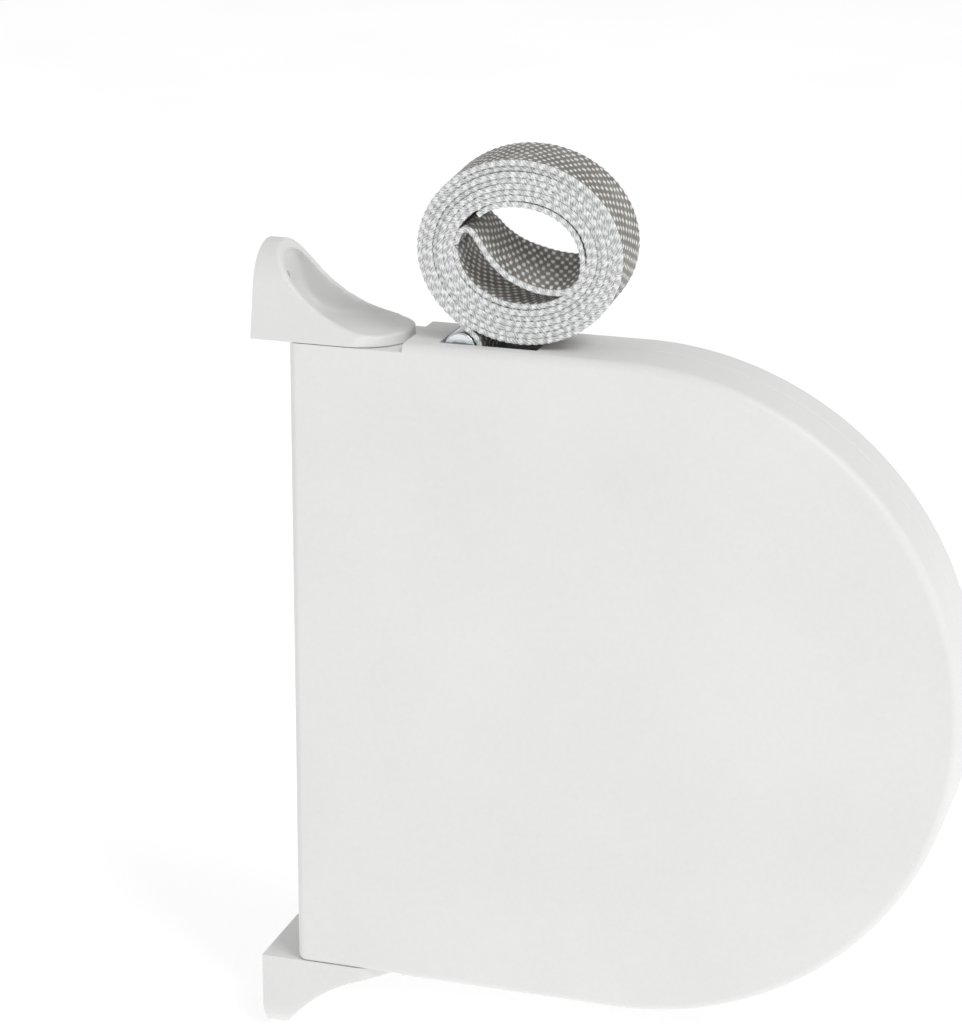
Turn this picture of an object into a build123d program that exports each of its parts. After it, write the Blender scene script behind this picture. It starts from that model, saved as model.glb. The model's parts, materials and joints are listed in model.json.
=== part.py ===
from build123d import *

import os
from math import acos, atan2, cos, hypot, pi, radians, sin, sqrt

# A swivelling, surface-mounted belt winder for a roller shutter, in millimetres.
# X runs out from the wall, Y across the housing with the front face at -Y, and Z up.
# The origin is on the wall plane, on the belt's centre plane, midway between the two wall screws.

# ---- Driving dimensions ----

# Housing: a flat D, straight at the wall side and half round at the room side
HOUSING_DEPTH = 23.0
HOUSING_RADIUS = 75.0
HOUSING_LEFT = 8.6
WALL = 2.0
SEAM_Y = 1.5
EDGE_ROUND = 2.0
CORNER_ROUND = 2.3

# Swivel: both brackets carry the housing on one upright axis
PIVOT_X = 22.0
TONGUE_RADIUS = HOUSING_DEPTH / 2
STUD_RADIUS = 4.4
COLLAR_RADIUS = 5.4
COLLAR_HEIGHT = 1.5
COLLAR_START = 3.9
STUD_LENGTH = 6.6
SOCKET_DEPTH = 9.0
SOCKET_CLEARANCE = 0.1
SWIVEL_GAP = 0.25

# Notches in the housing's top and bottom edges that the bracket tongues sit in
TOP_NOTCH_DEPTH = 1.8
BOTTOM_NOTCH_DEPTH = 1.0
NOTCH_END = PIVOT_X + TONGUE_RADIUS + 1.3
BOTTOM_NOTCH_END = NOTCH_END - 0.8

# Wall screws
SCREW_Z = 84.0
WALL_SCREW_HOLE = 2.25
WALL_SCREW_SEAT = 4.6
PLATE_THICKNESS = 4.2

# Belt: woven webbing
BELT_WIDTH = 14.0
BELT_THICKNESS = 1.2
BELT_GAP = 0.3
WOUND_LENGTH = 3700.0

# Spool and its mainspring
SPOOL_X = HOUSING_LEFT + HOUSING_RADIUS
HUB_RADIUS = 42.0
HUB_WALL = 5.0
FLANGE_RADIUS = 63.5
FLANGE_THICKNESS = 1.2
SPOOL_INSIDE = BELT_WIDTH + 1.0
AXLE_RADIUS = 4.0
BUSH_RADIUS = 6.0
BUSH_LENGTH = 2.4
BOSS_RADIUS = 8.5
SPRING_WIDTH = 11.8
SPRING_THICKNESS = 0.5
SPRING_PITCH = 2.0
SPRING_HALF_TURNS = 28
SPRING_CLEARANCE = 0.3

# Guide roller at the wall end of the belt slot
ROLLER_X = 46.4
ROLLER_Z = 74.0
ROLLER_RADIUS = 3.5
ROLLER_LENGTH = 13.8
ROLLER_CHAMFER = 0.4
ROLLER_PIN_RADIUS = 0.8
ROLLER_PIN_LENGTH = 17.4
SLOT_START = 41.8
SLOT_LENGTH = 22.0
SLOT_WIDTH = 14.6

# Free end of the belt, rolled up and resting on the housing over the slot
ROLL_X = 60.3
ROLL_HALF_LENGTH = 22.2
ROLL_HALF_HEIGHT = 20.4
ROLL_LIFT = 0.9
ROLL_JOIN_GAP = 0.7
ROLL_WALL = 10.5
ROLL_JOIN_ANGLE = 225.0
ROLL_CORE_OVERLAP = 0.5
ROLL_CORE_ANGLE = -24.0

# Clearances, and lengths of cut that only have to pass right through
RUNNING_CLEARANCE = 0.05
SCREW_CLEARANCE = 0.1
OVERCUT = 1.0
RIGHT_THROUGH = 40.0

# Derived places
HALF_DEPTH = HOUSING_DEPTH / 2
CAVITY_Y = HALF_DEPTH - WALL
FLANGE_Y = SPOOL_INSIDE / 2
SPOOL_OUTSIDE_Y = FLANGE_Y + FLANGE_THICKNESS
TOP_NOTCH_Z = HOUSING_RADIUS - TOP_NOTCH_DEPTH
BOTTOM_NOTCH_Z = BOTTOM_NOTCH_DEPTH - HOUSING_RADIUS
WOUND_RADIUS = sqrt(HUB_RADIUS**2 + WOUND_LENGTH * BELT_THICKNESS / pi)
ROLL_Z = HOUSING_RADIUS + ROLL_LIFT + ROLL_HALF_HEIGHT


def across(y):
    """Plane parallel to the front face at depth y: local x is X, local y is Z, normal to the front."""
    return Plane.XZ.offset(-y)


def around_spool(radius, degrees_up):
    """A point in the XZ plane at a radius and an angle about the spool's axis."""
    angle = radians(degrees_up)
    return (SPOOL_X + radius * cos(angle), radius * sin(angle))


def housing_outline(inset, corner):
    """The D of the housing drawn smaller all round by inset, with rounded wall-side corners."""
    radius = HOUSING_RADIUS - inset
    left = HOUSING_LEFT + inset
    with BuildSketch() as outline:
        with BuildLine():
            Polyline((SPOOL_X, radius), (left, radius), (left, -radius), (SPOOL_X, -radius))
            ThreePointArc((SPOOL_X, -radius), (SPOOL_X + radius, 0), (SPOOL_X, radius))
        make_face()
        fillet(outline.vertices().group_by(Axis.X)[0], radius=corner)
    return outline.sketch


def tongue_outline(inset):
    """A bracket seen from above: straight sides from the wall, and a round end about the pivot."""
    half_width = TONGUE_RADIUS - inset
    with BuildSketch() as outline:
        with Locations((PIVOT_X / 2, 0)):
            Rectangle(PIVOT_X, 2 * half_width)
        with Locations((PIVOT_X, 0)):
            Circle(half_width)
    return outline.sketch


# ---- Brackets ----

# Both brackets are single mouldings. The stud that the housing turns on is moulded with them.
SCOOP_MARGIN = 2.0
tongue_plan = tongue_outline(0)
scoop_plan = tongue_outline(SCOOP_MARGIN)

# Top bracket: a wall plate with an arched head that sweeps out into a dished tongue
TOP_BASE_Z = TOP_NOTCH_Z + SWIVEL_GAP
ARCH_RADIUS = 9.5
ARCH_Z = SCREW_Z
ARCH_TOP_Z = ARCH_Z + ARCH_RADIUS
RIM_START = (3.8, ARCH_TOP_Z)
RIM_MIDDLE = (12.5, TOP_BASE_Z + 8.5)
RIM_END = (PIVOT_X + TONGUE_RADIUS, TOP_BASE_Z + 2.4)
SCOOP_FLOOR_Z = TOP_BASE_Z + 2.0
DISH_START = (PLATE_THICKNESS + 9.0, SCOOP_FLOOR_Z)
DISH_MIDDLE = (PLATE_THICKNESS + 2.4, SCOOP_FLOOR_Z + 3.0)
DISH_END = (PLATE_THICKNESS, SCOOP_FLOOR_Z + 9.0)


def arch_outline(inset, low_z, half_width):
    """The bracket seen from the wall: a round head whose sides run straight down and outward."""
    radius = ARCH_RADIUS - inset
    foot = (half_width - inset, low_z)
    reach = hypot(foot[0], foot[1] - ARCH_Z)
    turn = atan2(foot[1] - ARCH_Z, foot[0]) + acos(radius / reach)
    side = (radius * cos(turn), ARCH_Z + radius * sin(turn))
    with BuildSketch() as outline:
        with BuildLine():
            Line(foot, side)
            ThreePointArc(side, (0, ARCH_Z + radius), (-side[0], side[1]))
            Polyline((-side[0], side[1]), (-foot[0], low_z), foot)
        make_face()
    return outline.sketch


head_outline = arch_outline(0, TOP_BASE_Z, TONGUE_RADIUS)
scoop_head_outline = arch_outline(SCOOP_MARGIN, SCOOP_FLOOR_Z, TONGUE_RADIUS)

with BuildPart() as scoop:
    # the dish: below it the tongue keeps its floor, and behind it the wall plate
    with BuildSketch(across(HALF_DEPTH)):
        with BuildLine():
            far_x = PIVOT_X + TONGUE_RADIUS
            above_z = ARCH_TOP_Z + OVERCUT
            Line((far_x, SCOOP_FLOOR_Z), DISH_START)
            ThreePointArc(DISH_START, DISH_MIDDLE, DISH_END)
            Polyline(DISH_END, (PLATE_THICKNESS, above_z), (far_x, above_z), (far_x, SCOOP_FLOOR_Z))
        make_face()
    extrude(amount=HOUSING_DEPTH)
    with BuildSketch(Plane.XY.offset(TOP_BASE_Z)):
        add(scoop_plan)
    extrude(amount=RIGHT_THROUGH, mode=Mode.INTERSECT)
    with BuildSketch(Plane.YZ):
        add(scoop_head_outline)
    extrude(amount=RIGHT_THROUGH, mode=Mode.INTERSECT)

with BuildPart() as top_bracket:
    with BuildSketch(across(HALF_DEPTH)):
        with BuildLine():
            Polyline(RIM_END, (RIM_END[0], TOP_BASE_Z), (0, TOP_BASE_Z), (0, RIM_START[1]), RIM_START)
            ThreePointArc(RIM_START, RIM_MIDDLE, RIM_END)
        make_face()
    extrude(amount=HOUSING_DEPTH)
    with BuildSketch(Plane.XY.offset(TOP_BASE_Z)):
        add(tongue_plan)
    extrude(amount=RIGHT_THROUGH, mode=Mode.INTERSECT)
    with BuildSketch(Plane.YZ):
        add(head_outline)
    extrude(amount=RIGHT_THROUGH, mode=Mode.INTERSECT)
    add(scoop, mode=Mode.SUBTRACT)
    # pivot stud with the collar that the housing traps
    with BuildSketch(Plane.XY.offset(TOP_BASE_Z)):
        with Locations((PIVOT_X, 0)):
            Circle(STUD_RADIUS)
    extrude(amount=-STUD_LENGTH)
    with BuildSketch(Plane.XY.offset(TOP_BASE_Z - COLLAR_START)):
        with Locations((PIVOT_X, 0)):
            Circle(COLLAR_RADIUS)
    extrude(amount=-COLLAR_HEIGHT)
    # hole for the wall screw
    with BuildSketch(Plane.YZ):
        with Locations((0, SCREW_Z)):
            Circle(WALL_SCREW_HOLE)
    extrude(amount=PLATE_THICKNESS + OVERCUT, mode=Mode.SUBTRACT)
top_bracket.part.label = "top_bracket"

# Bottom bracket: the same tongue on a shorter foot, hollowed below for its wall screw
FOOT_TOP_Z = BOTTOM_NOTCH_Z - SWIVEL_GAP
FOOT_BOTTOM_Z = -93.5
FOOT_LENGTH = 8.9
FOOT_ROUND = 7.5
TONGUE_TIP = (PIVOT_X + TONGUE_RADIUS, FOOT_TOP_Z)
UNDERSIDE_START = (PIVOT_X + TONGUE_RADIUS, FOOT_TOP_Z - 1.4)
UNDERSIDE_MIDDLE = (19.7, FOOT_TOP_Z - 5.2)
UNDERSIDE_END = (FOOT_LENGTH + 2.0, FOOT_TOP_Z - 11.2)
TOE_START = (FOOT_LENGTH, FOOT_BOTTOM_Z + 2.0)
TOE_END = (FOOT_LENGTH - 1.7, FOOT_BOTTOM_Z)

with BuildPart() as bottom_bracket:
    with BuildSketch(across(HALF_DEPTH)):
        with BuildLine():
            Polyline(
                UNDERSIDE_END, TOE_START, TOE_END, (0, FOOT_BOTTOM_Z), (0, FOOT_TOP_Z),
                TONGUE_TIP, UNDERSIDE_START,
            )
            ThreePointArc(UNDERSIDE_START, UNDERSIDE_MIDDLE, UNDERSIDE_END)
        make_face()
    extrude(amount=HOUSING_DEPTH)
    with BuildSketch(Plane.XY.offset(FOOT_TOP_Z)):
        add(tongue_plan)
    extrude(amount=-RIGHT_THROUGH, mode=Mode.INTERSECT)
    with BuildSketch(Plane.YZ) as foot_outline:
        with Locations((0, (FOOT_TOP_Z + FOOT_BOTTOM_Z) / 2)):
            Rectangle(HOUSING_DEPTH, FOOT_TOP_Z - FOOT_BOTTOM_Z)
        fillet(foot_outline.vertices().group_by(Axis.Z)[0], radius=FOOT_ROUND)
    extrude(amount=RIGHT_THROUGH, mode=Mode.INTERSECT)
    # pivot stud and collar
    with BuildSketch(Plane.XY.offset(FOOT_TOP_Z)):
        with Locations((PIVOT_X, 0)):
            Circle(STUD_RADIUS)
    extrude(amount=STUD_LENGTH)
    with BuildSketch(Plane.XY.offset(FOOT_TOP_Z + COLLAR_START)):
        with Locations((PIVOT_X, 0)):
            Circle(COLLAR_RADIUS)
    extrude(amount=COLLAR_HEIGHT)
    # screw hole, with a hollow for the screw's head and the driver
    with BuildSketch(Plane.YZ):
        with Locations((0, -SCREW_Z)):
            Circle(WALL_SCREW_HOLE)
    extrude(amount=PLATE_THICKNESS + OVERCUT, mode=Mode.SUBTRACT)
    with BuildSketch(Plane.YZ.offset(PLATE_THICKNESS)):
        with Locations((0, -SCREW_Z)):
            Circle(WALL_SCREW_SEAT)
    extrude(amount=RIGHT_THROUGH, mode=Mode.SUBTRACT)
bottom_bracket.part.label = "bottom_bracket"

# ---- Housing shells ----

CAVITY_CORNER = 1.0
outer_outline = housing_outline(0, CORNER_ROUND)
cavity_outline = housing_outline(WALL, CAVITY_CORNER)

# Four shell screws: two at the wall side, two in the ring outside the spool
WALL_SIDE_SCREW = (16.0, 56.0)
RING_SCREW_RADIUS = 69.0
RING_SCREW_ANGLE = 40.0
SHELL_SCREW_PLACES = [
    WALL_SIDE_SCREW,
    (WALL_SIDE_SCREW[0], -WALL_SIDE_SCREW[1]),
    around_spool(RING_SCREW_RADIUS, RING_SCREW_ANGLE),
    around_spool(RING_SCREW_RADIUS, -RING_SCREW_ANGLE),
]
SHELL_BOSS_RADIUS = 4.2
SHELL_SCREW_RADIUS = 1.5
SHELL_HEAD_RADIUS = 2.8
SHELL_HEAD_HEIGHT = 2.0
HEAD_CLEARANCE = 0.3
RECESS_LENGTH = 3.0
RECESS_WIDTH = 0.7
RECESS_DEPTH = 1.2
HEAD_SEAT_Y = HALF_DEPTH - 3.0
SCREW_REACH = 14.5
AXLE_HEAD_RADIUS = 7.0
AXLE_HEAD_HEIGHT = 0.8

# Bearing blocks that hold the pivot studs inside both shells
BLOCK_START = 12.0
BLOCK_END = 33.0
TOP_BLOCK = (66.0, TOP_NOTCH_Z)
BOTTOM_BLOCK = (BOTTOM_NOTCH_Z, -66.0)


def block_outline(low_high):
    """One bearing block seen from the front."""
    low_z, high_z = low_high
    with BuildSketch() as outline:
        with Locations(((BLOCK_START + BLOCK_END) / 2, (low_z + high_z) / 2)):
            Rectangle(BLOCK_END - BLOCK_START, high_z - low_z)
    return outline.sketch


block_outlines = [block_outline(TOP_BLOCK), block_outline(BOTTOM_BLOCK)]

with BuildPart() as shell_openings:
    # everything that is cut through both shells: notches, stud sockets, belt slot, roller pin hole
    for edge_z, floor_z, end_x in (
        (HOUSING_RADIUS, TOP_NOTCH_Z, NOTCH_END),
        (-HOUSING_RADIUS, BOTTOM_NOTCH_Z, BOTTOM_NOTCH_END),
    ):
        outward = 1 if edge_z > 0 else -1
        with BuildSketch(Plane.XY.offset(floor_z)):
            with Locations((end_x / 2, 0)):
                Rectangle(end_x, HOUSING_DEPTH + 2 * OVERCUT)
        extrude(amount=outward * 2 * WALL)
        with BuildSketch(Plane.XY.offset(floor_z)):
            with Locations((PIVOT_X, 0)):
                Circle(STUD_RADIUS + SOCKET_CLEARANCE)
        extrude(amount=-outward * SOCKET_DEPTH)
        collar_socket_z = floor_z - outward * (COLLAR_START - SWIVEL_GAP - SOCKET_CLEARANCE)
        with BuildSketch(Plane.XY.offset(collar_socket_z)):
            with Locations((PIVOT_X, 0)):
                Circle(COLLAR_RADIUS + SOCKET_CLEARANCE)
        extrude(amount=-outward * (COLLAR_HEIGHT + 2 * SOCKET_CLEARANCE))
    with BuildSketch(Plane.XY.offset(HOUSING_RADIUS - 2 * WALL)):
        with Locations((SLOT_START + SLOT_LENGTH / 2, 0)):
            Rectangle(SLOT_LENGTH, SLOT_WIDTH)
    extrude(amount=3 * WALL)
    with BuildSketch(across(ROLLER_PIN_LENGTH / 2)):
        with Locations((ROLLER_X, ROLLER_Z)):
            Circle(ROLLER_PIN_RADIUS)
    extrude(amount=ROLLER_PIN_LENGTH)

with BuildPart() as front_shell:
    with BuildSketch(across(SEAM_Y)):
        add(outer_outline)
    extrude(amount=SEAM_Y + HALF_DEPTH)
    fillet(front_shell.faces().sort_by(Axis.Y)[0].edges(), radius=EDGE_ROUND)
    with BuildSketch(across(SEAM_Y)):
        add(cavity_outline)
    extrude(amount=SEAM_Y + CAVITY_Y, mode=Mode.SUBTRACT)
    with BuildSketch(across(SEAM_Y)):
        add(block_outlines)
        with Locations(SHELL_SCREW_PLACES):
            Circle(SHELL_BOSS_RADIUS)
    extrude(amount=SEAM_Y + CAVITY_Y)
    with BuildSketch(across(SEAM_Y)):
        with Locations(SHELL_SCREW_PLACES):
            Circle(SHELL_SCREW_RADIUS)
    extrude(amount=SEAM_Y + SCREW_REACH - HEAD_SEAT_Y, mode=Mode.SUBTRACT)
    add(shell_openings, mode=Mode.SUBTRACT)
front_shell.part.label = "front_shell"

with BuildPart() as rear_shell:
    with BuildSketch(across(HALF_DEPTH)):
        add(outer_outline)
    extrude(amount=HALF_DEPTH - SEAM_Y)
    fillet(rear_shell.faces().sort_by(Axis.Y)[-1].edges(), radius=EDGE_ROUND)
    with BuildSketch(across(CAVITY_Y)):
        add(cavity_outline)
    extrude(amount=CAVITY_Y - SEAM_Y, mode=Mode.SUBTRACT)
    with BuildSketch(across(CAVITY_Y)):
        add(block_outlines)
        with Locations(SHELL_SCREW_PLACES):
            Circle(SHELL_BOSS_RADIUS)
    extrude(amount=CAVITY_Y - SEAM_Y)
    with BuildSketch(across(HALF_DEPTH)):
        with Locations(SHELL_SCREW_PLACES):
            Circle(SHELL_SCREW_RADIUS + SCREW_CLEARANCE)
    extrude(amount=HALF_DEPTH - SEAM_Y, mode=Mode.SUBTRACT)
    with BuildSketch(across(HALF_DEPTH)):
        with Locations(SHELL_SCREW_PLACES):
            Circle(SHELL_HEAD_RADIUS + HEAD_CLEARANCE)
    extrude(amount=HALF_DEPTH - HEAD_SEAT_Y, mode=Mode.SUBTRACT)
    # the axle passes through the rear wall, and its head lies in a shallow seat
    with BuildSketch(across(HALF_DEPTH)):
        with Locations((SPOOL_X, 0)):
            Circle(AXLE_RADIUS)
    extrude(amount=WALL, mode=Mode.SUBTRACT)
    with BuildSketch(across(HALF_DEPTH)):
        with Locations((SPOOL_X, 0)):
            Circle(AXLE_HEAD_RADIUS)
    extrude(amount=AXLE_HEAD_HEIGHT, mode=Mode.SUBTRACT)
    add(shell_openings, mode=Mode.SUBTRACT)
rear_shell.part.label = "rear_shell"

with BuildPart() as shell_screws:
    with BuildSketch(across(HEAD_SEAT_Y)):
        with Locations(SHELL_SCREW_PLACES):
            Circle(SHELL_SCREW_RADIUS)
    extrude(amount=SCREW_REACH)
    with BuildSketch(across(HEAD_SEAT_Y + SHELL_HEAD_HEIGHT)):
        with Locations(SHELL_SCREW_PLACES):
            Circle(SHELL_HEAD_RADIUS)
    extrude(amount=SHELL_HEAD_HEIGHT)
    # cross recesses in the heads
    with BuildSketch(across(HEAD_SEAT_Y + SHELL_HEAD_HEIGHT)):
        with Locations(SHELL_SCREW_PLACES):
            Rectangle(RECESS_LENGTH, RECESS_WIDTH)
            Rectangle(RECESS_WIDTH, RECESS_LENGTH)
    extrude(amount=RECESS_DEPTH, mode=Mode.SUBTRACT)
shell_screws.part.label = "shell_screws"

# ---- Axle, fixed in the rear shell ----

RING_GROOVE_RADIUS = AXLE_RADIUS - 0.6
RING_OUTER_RADIUS = AXLE_RADIUS + 2.0
RING_OPENING = 2.4
RING_THICKNESS = 0.5
WASHER_THICKNESS = 0.5
RING_Y = -(SPOOL_OUTSIDE_Y + 0.15)
AXLE_FRONT_Y = -(CAVITY_Y - 0.1)

with BuildPart() as spool_axle:
    with BuildSketch(across(HALF_DEPTH)):
        with Locations((SPOOL_X, 0)):
            Circle(AXLE_RADIUS)
    extrude(amount=HALF_DEPTH - AXLE_FRONT_Y)
    with BuildSketch(across(HALF_DEPTH)):
        with Locations((SPOOL_X, 0)):
            Circle(AXLE_HEAD_RADIUS)
    extrude(amount=AXLE_HEAD_HEIGHT)
    with BuildSketch(across(RING_Y)):
        with Locations((SPOOL_X, 0)):
            Circle(RING_OUTER_RADIUS)
            Circle(RING_GROOVE_RADIUS, mode=Mode.SUBTRACT)
    extrude(amount=RING_THICKNESS, mode=Mode.SUBTRACT)
spool_axle.part.label = "spool_axle"

with BuildPart() as axle_retaining_ring:
    with BuildSketch(across(RING_Y)):
        with Locations((SPOOL_X, 0)):
            Circle(RING_OUTER_RADIUS)
            Circle(RING_GROOVE_RADIUS, mode=Mode.SUBTRACT)
        with Locations((SPOOL_X, -AXLE_RADIUS)):
            Rectangle(RING_OPENING, 2 * AXLE_RADIUS, mode=Mode.SUBTRACT)
    extrude(amount=RING_THICKNESS)
axle_retaining_ring.part.label = "axle_retaining_ring"

with BuildPart() as spool_washer:
    with BuildSketch(across(CAVITY_Y)):
        with Locations((SPOOL_X, 0)):
            Circle(BOSS_RADIUS)
            Circle(AXLE_RADIUS, mode=Mode.SUBTRACT)
    extrude(amount=WASHER_THICKNESS)
spool_washer.part.label = "spool_washer"

# ---- Spool: a cup that holds the mainspring, and a cover that closes it ----

COVER_SCREW_PLACES = [around_spool(HUB_RADIUS - HUB_WALL / 2, 120 * k + 20) for k in range(3)]
COVER_SCREW_RADIUS = 1.1
COVER_HEAD_RADIUS = 1.9
COVER_HEAD_HEIGHT = 0.8
SPRING_PIN_RADIUS = 1.2
SPRING_PIN_PLACE = around_spool(HUB_RADIUS - HUB_WALL - SPRING_PIN_RADIUS - 0.4, 0)
BELT_PIN_RADIUS = 1.5
BELT_PIN_PLACE = around_spool(HUB_RADIUS - BELT_PIN_RADIUS - 0.2, 180)

with BuildPart() as spool_cup:
    with BuildSketch(across(FLANGE_Y)):
        with Locations((SPOOL_X, 0)):
            Circle(HUB_RADIUS)
            Circle(HUB_RADIUS - HUB_WALL, mode=Mode.SUBTRACT)
    extrude(amount=SPOOL_INSIDE)
    with BuildSketch(across(SPOOL_OUTSIDE_Y)):
        with Locations((SPOOL_X, 0)):
            Circle(FLANGE_RADIUS)
    extrude(amount=FLANGE_THICKNESS)
    with BuildSketch(across(FLANGE_Y)):
        with Locations((SPOOL_X, 0)):
            Circle(BOSS_RADIUS)
    extrude(amount=BUSH_LENGTH - FLANGE_THICKNESS)
    with BuildSketch(across(SPOOL_OUTSIDE_Y)):
        with Locations((SPOOL_X, 0)):
            Circle(BUSH_RADIUS)
    extrude(amount=BUSH_LENGTH, mode=Mode.SUBTRACT)
    with BuildSketch(across(0)):
        with Locations(COVER_SCREW_PLACES):
            Circle(COVER_SCREW_RADIUS)
    extrude(amount=FLANGE_Y, mode=Mode.SUBTRACT)
    # groove across the hub for the pin that holds the belt's end
    with BuildSketch(across(FLANGE_Y)):
        with Locations(BELT_PIN_PLACE):
            Circle(BELT_PIN_RADIUS)
        with Locations((BELT_PIN_PLACE[0] - BELT_PIN_RADIUS, 0)):
            Rectangle(2 * BELT_PIN_RADIUS, BELT_PIN_RADIUS)
    extrude(amount=SPOOL_INSIDE, mode=Mode.SUBTRACT)
spool_cup.part.label = "spool_cup"

with BuildPart() as spool_cover:
    with BuildSketch(across(-FLANGE_Y)):
        with Locations((SPOOL_X, 0)):
            Circle(FLANGE_RADIUS)
    extrude(amount=FLANGE_THICKNESS)
    with BuildSketch(across(BUSH_LENGTH - SPOOL_OUTSIDE_Y)):
        with Locations((SPOOL_X, 0)):
            Circle(BOSS_RADIUS)
    extrude(amount=BUSH_LENGTH - FLANGE_THICKNESS)
    with BuildSketch(across(BUSH_LENGTH - SPOOL_OUTSIDE_Y)):
        with Locations((SPOOL_X, 0)):
            Circle(BUSH_RADIUS)
    extrude(amount=BUSH_LENGTH, mode=Mode.SUBTRACT)
    with BuildSketch(across(-FLANGE_Y)):
        with Locations(COVER_SCREW_PLACES):
            Circle(COVER_SCREW_RADIUS)
    extrude(amount=FLANGE_THICKNESS, mode=Mode.SUBTRACT)
    with BuildSketch(across(COVER_HEAD_HEIGHT - SPOOL_OUTSIDE_Y)):
        with Locations(COVER_SCREW_PLACES):
            Circle(COVER_HEAD_RADIUS)
    extrude(amount=COVER_HEAD_HEIGHT, mode=Mode.SUBTRACT)
spool_cover.part.label = "spool_cover"

with BuildPart() as cover_screws:
    with BuildSketch(across(0)):
        with Locations(COVER_SCREW_PLACES):
            Circle(COVER_SCREW_RADIUS)
    extrude(amount=SPOOL_OUTSIDE_Y)
    with BuildSketch(across(COVER_HEAD_HEIGHT - SPOOL_OUTSIDE_Y)):
        with Locations(COVER_SCREW_PLACES):
            Circle(COVER_HEAD_RADIUS)
    extrude(amount=COVER_HEAD_HEIGHT)
cover_screws.part.label = "cover_screws"


def bush_ring():
    """A plain bearing bush seen from the front."""
    with BuildSketch() as ring:
        with Locations((SPOOL_X, 0)):
            Circle(BUSH_RADIUS)
            Circle(AXLE_RADIUS + RUNNING_CLEARANCE, mode=Mode.SUBTRACT)
    return ring.sketch


bush_outline = bush_ring()

with BuildPart() as front_spool_bush:
    with BuildSketch(across(BUSH_LENGTH - SPOOL_OUTSIDE_Y)):
        add(bush_outline)
    extrude(amount=BUSH_LENGTH)
front_spool_bush.part.label = "front_spool_bush"

with BuildPart() as rear_spool_bush:
    with BuildSketch(across(SPOOL_OUTSIDE_Y)):
        add(bush_outline)
    extrude(amount=BUSH_LENGTH)
rear_spool_bush.part.label = "rear_spool_bush"

with BuildPart() as spring_anchor_pin:
    with BuildSketch(across(FLANGE_Y)):
        with Locations(SPRING_PIN_PLACE):
            Circle(SPRING_PIN_RADIUS)
    extrude(amount=SPOOL_INSIDE)
spring_anchor_pin.part.label = "spring_anchor_pin"

with BuildPart() as belt_anchor_pin:
    with BuildSketch(across(FLANGE_Y)):
        with Locations(BELT_PIN_PLACE):
            Circle(BELT_PIN_RADIUS)
    extrude(amount=SPOOL_INSIDE)
belt_anchor_pin.part.label = "belt_anchor_pin"

# Mainspring: a flat steel ribbon in half circles about two centres, half a pitch apart
SPRING_START = AXLE_RADIUS + SPRING_CLEARANCE + SPRING_THICKNESS / 2


def spring_edge(offset_out):
    """Half circles of one edge of the ribbon, from the axle outward: (start, middle, end) each."""
    arcs = []
    for k in range(SPRING_HALF_TURNS):
        centre = SPOOL_X + (SPRING_PITCH / 2 if k % 2 else 0)
        side = -1 if k % 2 else 1
        radius = SPRING_START + k * SPRING_PITCH / 2 + offset_out
        arcs.append(((centre + side * radius, 0), (centre, side * radius), (centre - side * radius, 0)))
    return arcs


with BuildPart() as clock_spring:
    with BuildSketch(across(SPRING_WIDTH / 2)):
        with BuildLine():
            inner_arcs = spring_edge(-SPRING_THICKNESS / 2)
            outer_arcs = spring_edge(SPRING_THICKNESS / 2)
            for arc in inner_arcs + outer_arcs:
                ThreePointArc(*arc)
            Line(inner_arcs[0][0], outer_arcs[0][0])
            Line(inner_arcs[-1][2], outer_arcs[-1][2])
        make_face()
    extrude(amount=SPRING_WIDTH)
clock_spring.part.label = "clock_spring"

# ---- Guide roller on its pin ----

with BuildPart() as guide_roller:
    with BuildSketch(across(ROLLER_LENGTH / 2)):
        with Locations((ROLLER_X, ROLLER_Z)):
            Circle(ROLLER_RADIUS)
            Circle(ROLLER_PIN_RADIUS + RUNNING_CLEARANCE, mode=Mode.SUBTRACT)
    extrude(amount=ROLLER_LENGTH)
    chamfer(guide_roller.edges().filter_by(GeomType.CIRCLE).sort_by(SortBy.RADIUS)[-2:], length=ROLLER_CHAMFER)
guide_roller.part.label = "guide_roller"

with BuildPart() as guide_roller_pin:
    with BuildSketch(across(ROLLER_PIN_LENGTH / 2)):
        with Locations((ROLLER_X, ROLLER_Z)):
            Circle(ROLLER_PIN_RADIUS)
    extrude(amount=ROLLER_PIN_LENGTH)
guide_roller_pin.part.label = "guide_roller_pin"

# ---- Belt: one length of webbing, wound on the spool, led out over the roller and rolled up ----

with BuildPart() as belt_on_spool:
    with BuildSketch(across(BELT_WIDTH / 2)):
        with Locations((SPOOL_X, 0)):
            Circle(WOUND_RADIUS)
            Circle(HUB_RADIUS, mode=Mode.SUBTRACT)
    extrude(amount=BELT_WIDTH)
belt_on_spool.part.label = "belt_on_spool"

# The strand leaves the wound belt on its wall side, crosses to the room side of the roller,
# turns round it and meets the roll at its lower wall-side quarter.
GUIDE_RADIUS = ROLLER_RADIUS + BELT_GAP + BELT_THICKNESS / 2
LEAVING_RADIUS = WOUND_RADIUS + BELT_GAP + BELT_THICKNESS / 2
join_angle = radians(ROLL_JOIN_ANGLE)
join_reach = ROLL_JOIN_GAP + BELT_THICKNESS / 2
roll_join = (
    ROLL_X + (ROLL_HALF_LENGTH + join_reach) * cos(join_angle),
    ROLL_Z + (ROLL_HALF_HEIGHT + join_reach) * sin(join_angle),
)
spool_distance = hypot(SPOOL_X - ROLLER_X, ROLLER_Z)
lower_turn = atan2(-ROLLER_Z, SPOOL_X - ROLLER_X) + acos((GUIDE_RADIUS + LEAVING_RADIUS) / spool_distance)
join_distance = hypot(roll_join[0] - ROLLER_X, roll_join[1] - ROLLER_Z)
upper_turn = atan2(roll_join[1] - ROLLER_Z, roll_join[0] - ROLLER_X) - acos(GUIDE_RADIUS / join_distance)


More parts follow.
